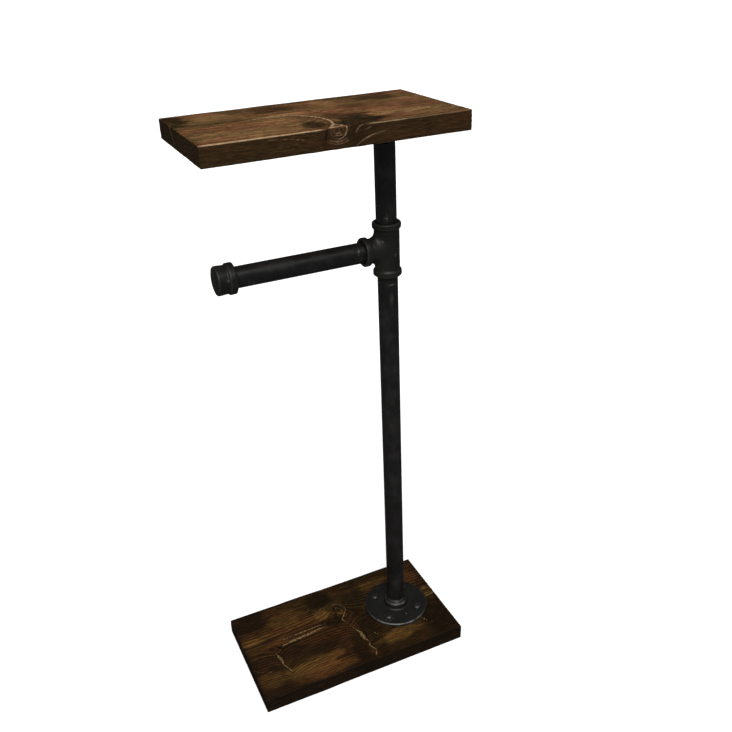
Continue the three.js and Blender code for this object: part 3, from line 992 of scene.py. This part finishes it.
def tee(body, material):
    """A cast tee: one skin over its three arms, filleted where they meet, with a band at each mouth."""
    made = rod(TEE_BODY + 0.6, -TEE_REACH, TEE_REACH, CAST_SIDES)
    made.name = "tee_casting"
    arm = place(rod(TEE_BODY + 0.6, 0, TEE_REACH, CAST_SIDES), TOWARDS_ARM)
    bands = [place(rod(TEE_BAND, TEE_REACH - 2 * TEE_BAND_HALF, TEE_REACH, CAST_SIDES), turn)
             for turn in (None, UPSIDE_DOWN, TOWARDS_ARM)]
    join(made, [arm, *bands])
    remesh = made.modifiers.new("skin", "REMESH")
    remesh.mode = "VOXEL"
    remesh.voxel_size = 0.6 * MM
    bpy.context.view_layer.update()
    apply_modifiers(made)
    move_vertices(made, settle(vertices_of(made), tee_distance))
    roughen(made, 2.6, 0.2, 51)
    raise_nubs(made, TEE_NUBS)
    bores, cones = [], []
    for turn in (None, UPSIDE_DOWN, TOWARDS_ARM):
        bores.append(place(rod(SOCKET_RADIUS, 12, TEE_REACH + 2), turn))
        flare = [(0, TEE_REACH - 1.3), (SOCKET_RADIUS - 0.1, TEE_REACH - 1.3),
                 (SOCKET_RADIUS + 1.5, TEE_REACH + 0.3), (SOCKET_RADIUS + 1.5, TEE_REACH + 2),
                 (0, TEE_REACH + 2)]
        cones.append(place(turned("flare", np.array(flare), 96), turn))
    waterways = [rod(8.6, -TEE_REACH, TEE_REACH), place(rod(8.4, 0, TEE_REACH), TOWARDS_ARM)]
    cut(made, *bores, *cones, *waterways)
    place(made, None, (POST_X, POST_Y, TEE_Z))
    finish_casting(made, body, "tee", material, nubs=moved(TEE_NUBS, (POST_X, POST_Y, TEE_Z)))


def join(made, others):
    """Adds the meshes of others to an object's own."""
    whole = bmesh.new()
    whole.from_mesh(made.data)
    for other in others:
        whole.from_mesh(other.data)
    whole.to_mesh(made.data)
    whole.free()
    discard(*others)


def seldom(points):
    """A little, and the same everywhere."""
    return np.full(len(points), 0.1)


def front_highlight_reach(points):
    """Most at the front of a flange, towards the room, where the painted highlight on its edges lies."""
    away = points[:, :2] - (POST_X, POST_Y)
    towards = away @ (-0.39, -0.92) / np.clip(np.linalg.norm(away, axis=1), 1, None)
    return 0.12 + 0.88 * smooth_step(0.45, 0.95, towards)


def finish_casting(made, body, node, material, reach=seldom, nubs=()):
    """Shades a casting, marks where its paint is rubbed and where a highlight is painted on its edges, and
    makes it a piece.
    """
    shade_smooth(made)
    edge_rub_and_highlight(made, reach, nubs)
    finish_piece(made, body, node, material)


def shade_smooth(made, sharpest=40):
    """Smooth shading that keeps the edges of bores and mouths crisp."""
    made.data.polygons.foreach_set("use_smooth", [True] * len(made.data.polygons))
    made.data.set_sharp_from_angle(angle=math.radians(sharpest))


def cast_specks(seed, count, radius, length):
    """Small lumps at seeded places on a barrel that runs along X from 0, each with its rise."""
    draw = np.random.default_rng(seed)
    angles = draw.uniform(0, 2 * math.pi, count)
    along = draw.uniform(1, length - 1, count)
    rises = draw.uniform(0.3, 0.7, count)
    spots = np.stack([along, radius * np.cos(angles), radius * np.sin(angles)], axis=1)
    return list(zip(spots, rises))


def cap(body, material):
    """The banded cap on the arm's free end, its mouth at height 0 and its disc at the top before turning."""
    low, high = node_box("arm_cap")
    length = high[0] - low[0]
    band = (high[1] - low[1]) / 2
    barrel = band - 1.2
    corners = [
        (0, 13, 0), (SOCKET_RADIUS, 13, 0.5), (SOCKET_RADIUS, 1.2, 0.4), (SOCKET_RADIUS + 1.3, 0, 0.3),
        (band - 0.5, 0, 1.0), (band, 1.6, 0.7), (band, 6.8, 1.0), (barrel - 0.3, 8.2, 0.9),
        (barrel + 0.35, length - 1.5, 2.0), (barrel - 3.5, length - 0.5, 1.6),
        (barrel * 0.5, length - 0.1, 2.0), (0, length, 0),
    ]
    made = turned("cap_casting", densify(rounded_line(corners), 0.7), CAST_SIDES)
    roughen(made, 2.8, 0.2, 61)
    place(made, TOWARDS_ARM, (high[0], POST_Y, TEE_Z))
    nubs = moved(cast_specks(7, 10, barrel, length - 8), (low[0], POST_Y, TEE_Z))
    raise_nubs(made, nubs)
    finish_casting(made, body, "arm_cap", material, nubs=nubs)


SCREW_RING = 28.0
PLATE = 4.6
# Lumps on a flange's plate: x, y, size and rise.
FLANGE_NUBS = [(2, -24.5, 1, 0.7), (-22, -19, 0.8, 0.5), (24, 4, 0.9, 0.4), (-9, 33, 0.9, 0.5)]


def screw_places():
    """Where a flange's four screws stand, from its middle."""
    angles = [math.pi / 4 + i * math.pi / 2 for i in range(4)]
    return [(SCREW_RING * math.cos(a), SCREW_RING * math.sin(a)) for a in angles]


def floor_flange(node, body, turn, seat, material, seed):
    """A cast floor flange, its face at height 0 and its hub up before turning, seated on a board."""
    low, high = node_box(node)
    radius = (high[0] - low[0]) / 2
    height = high[2] - low[2]
    corners = [
        (SOCKET_RADIUS, 6, 0), (SOCKET_RADIUS, 0, 0), (radius - 0.5, 0, 0.5),
        (radius, PLATE - 0.1, 1.7), (radius - 5, PLATE, 1.5), (14.9, PLATE + 0.3, 2.4),
        (13.7, height, 1.3), (SOCKET_RADIUS + 0.9, height, 0.4), (SOCKET_RADIUS, height - 0.9, 0.3),
        (SOCKET_RADIUS, 6, 0),
    ]
    made = turned(node + "_casting", densify(rounded_line(corners), 0.8), CAST_SIDES)
    roughen(made, 3.2, 0.22, seed)
    points = vertices_of(made)
    for x, y, size, rise in FLANGE_NUBS:
        away = np.hypot(points[:, 0] - x, points[:, 1] - y)
        points[:, 2] += rise * np.exp(-((away / size) ** 2)) * (points[:, 2] > 3)
    move_vertices(made, points)
    hole = [(0, -1), (2.7, -1), (2.7, PLATE - 0.9), (5.7, PLATE - 0.6), (5.9, 8), (0, 8)]
    cut(made, *[place(turned("hole", np.array(hole), 40), None, (x, y, 0)) for x, y in screw_places()])
    place(made, turn, seat)
    # The flange's front edges carry the painted highlight.
    finish_casting(made, body, node, material, front_highlight_reach)


def wood_screw(node, body, turn, offset, twist, material):
    """A domed-head screw with a cross recess, its head's underside at height 0 before turning."""
    corners = [
        (0, -18, 0), (1.9, -14, 1), (1.9, -0.6, 0), (1.9, 0, 0), (5.1, 0, 0.2), (5.15, 0.9, 0.6),
        (3.7, 3.05, 1.9), (0, 3.4, 0),
    ]
    made = turned(node + "_steel", densify(rounded_line(corners, 7), 0.9), 48)
    blades = []
    for angle in (0, math.pi / 2):
        blades.append(place(box_blade(4.4, 1.0, 1.7, 4.4), Matrix.Rotation(angle + twist, 4, "Z")))
    cut(made, *blades)
    place(made, turn, offset)
    shade_smooth(made, 30)
    finish_piece(made, body, node, material)


def box_blade(length, width, bottom, top):
    """One blade of a cross-point driver, narrower at its tip."""
    vertices = []
    for z, share in ((bottom, 0.45), (top, 1.1)):
        x, y = length / 2 * share, width / 2 * (0.6 + 0.4 * share)
        vertices += [(-x, -y, z), (x, -y, z), (x, y, z), (-x, y, z)]
    faces = [(3, 2, 1, 0), (4, 5, 6, 7), (0, 1, 5, 4), (1, 2, 6, 5), (2, 3, 7, 6), (3, 0, 4, 7)]
    return mesh_object("blade", vertices, faces)


def screw_material():
    """Black oxide steel, rubbed brighter on its high spots."""
    shader = Shader("screw_black")
    place_in = shader.place()
    rub = shader.noise(place_in, 700, 4, 0.6)
    colour = shader.blend(shader.between(rub, 0.45, 0.7), (0.009, 0.0086, 0.0082), (0.045, 0.042, 0.038))
    shader.set(
        Base_Color=colour,
        Roughness=shader.between(rub, 0.3, 0.7, 0.3, 0.5),
        Normal=shader.bump(rub, 0.3, 0.0002),
        Metallic=0.35,
    )
    return shader.material


# ---- Build ----

pipe_finish = pipe_material()
cast_finish = cast_material()
screw_finish = screw_material()

board("base_board", "stand", BASE_LOG)
board("shelf_board", "shelf", SHELF_LOG)

post_low, post_high = node_box("post_pipe")
BELOW_TEE = post_high[2] - post_low[2] - UPRIGHT_IN
# The scuffs beside the tee and cap are rubbed paint and painted highlight streaks.
threaded_pipe("post_pipe", "stand", pipe_finish, (BARE_THREAD, HIDDEN_THREAD), None,
              (POST_X, POST_Y, post_low[2]),
              [(BELOW_TEE - 12, -78, 2.6), (BELOW_TEE - 17, -72, 1.8)],
              [(BELOW_TEE - 8.4, -92, 0.9, 3.4, 0.8), (BELOW_TEE - 24, -96, 6, 1.8, 0.35)])
threaded_pipe("upper_pipe", "head", pipe_finish, (HIDDEN_THREAD, BARE_THREAD), None,
              (POST_X, POST_Y, node_box("upper_pipe")[0][2]), [(17, -118, 1.6)], [(16, -113, 3.5, 0.9, 0.5)])
threaded_pipe("arm_pipe", "head", pipe_finish, (HIDDEN_THREAD, HIDDEN_THREAD), TOWARDS_ARM,
              (node_box("arm_pipe")[1][0], POST_Y, TEE_Z), [(18, -65, 1.8)], [(18, -60, 5, 0.9, 0.4)])

tee("head", cast_finish)
cap("cap", cast_finish)

BASE_TOP = node_box("base_board")[1][2]
SHELF_UNDERSIDE = node_box("shelf_board")[0][2]
for side, flange_body, turn, seat_z, up in (
    ("base", "stand", None, BASE_TOP, 1),
    ("shelf", "shelf", UPSIDE_DOWN, SHELF_UNDERSIDE, -1),
):
    flange_node = side + "_flange"
    floor_flange(flange_node, flange_body, turn, (POST_X, POST_Y, seat_z - up * 0.05), cast_finish, 70 + up)
    for number, (x, y) in enumerate(screw_places(), 1):
        spot = (POST_X + x, POST_Y + up * y, seat_z + up * (PLATE + 0.1))
        wood_screw(f"{flange_node}_screw_{number}", flange_body, turn, spot, 0.7 * number, screw_finish)

# ---- Stage and light ----


def make_floor():
    """Pale matt paper, wide enough to have no edge in view."""
    half = 20000
    corners = [(-half, -half, 0), (half, -half, 0), (half, half, 0), (-half, half, 0)]
    floor = mesh_object("floor", corners, [(0, 1, 2, 3)])
    shader = Shader("floor_paper")
    grain = shader.noise(shader.place(), 3, 2)
    shader.set(Base_Color=shader.blend(grain, (0.86, 0.86, 0.86), (0.9, 0.9, 0.9)), Roughness=0.9)
    shader.set(Specular_IOR_Level=0.0, Emission_Color=(1, 1, 1, 1), Emission_Strength=0.15)
    floor.data.materials.append(shader.material)
    floor.visible_glossy = False
    floor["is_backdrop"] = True


def sun(name, from_place, strength, degrees):
    """A sun shining on the origin from a place in metres. degrees is how wide it looks."""
    data = bpy.data.lights.new(name, "SUN")
    data.energy = strength
    data.angle = math.radians(degrees)
    made = new_object(name, data)
    made.location = from_place
    made.rotation_euler = (-Vector(from_place)).to_track_quat("-Z", "Y").to_euler()


ROOM_LIGHT = 0.34
ROOM_REFLECTION = 0.07


def make_world():
    """A white room to the camera, dim in soft light and nearly black in reflections."""
    world = bpy.data.worlds.new("studio")
    bpy.context.scene.world = world
    world.use_nodes = True
    nodes, links = world.node_tree.nodes, world.node_tree.links
    path = nodes.new("ShaderNodeLightPath")
    soft, seen = nodes.new("ShaderNodeMapRange"), nodes.new("ShaderNodeMapRange")
    soft.inputs["To Min"].default_value = ROOM_LIGHT
    soft.inputs["To Max"].default_value = ROOM_REFLECTION
    seen.inputs["To Max"].default_value = 1.0
    links.new(path.outputs["Is Glossy Ray"], soft.inputs["Value"])
    links.new(path.outputs["Is Camera Ray"], seen.inputs["Value"])
    links.new(soft.outputs["Result"], seen.inputs["To Min"])
    background = nodes["Background"]
    background.inputs["Color"].default_value = (1, 1, 1, 1)
    links.new(seen.outputs["Result"], background.inputs["Strength"])


make_floor()
make_world()
sun("key", (-0.5, -0.8, 1.3), 1.5, 40)
sun("top", (-0.1, -0.5, 1.3), 1.3, 55)
sun("flash", (-0.25, -0.85, 0.95), 0.9, 12)
bpy.context.scene.view_settings.view_transform = "Standard"

boxes = {"cad_box": cad_bounds, "visual_box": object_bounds()}
sizes = {name: [list(corner) for corner in box] for name, box in boxes.items()}
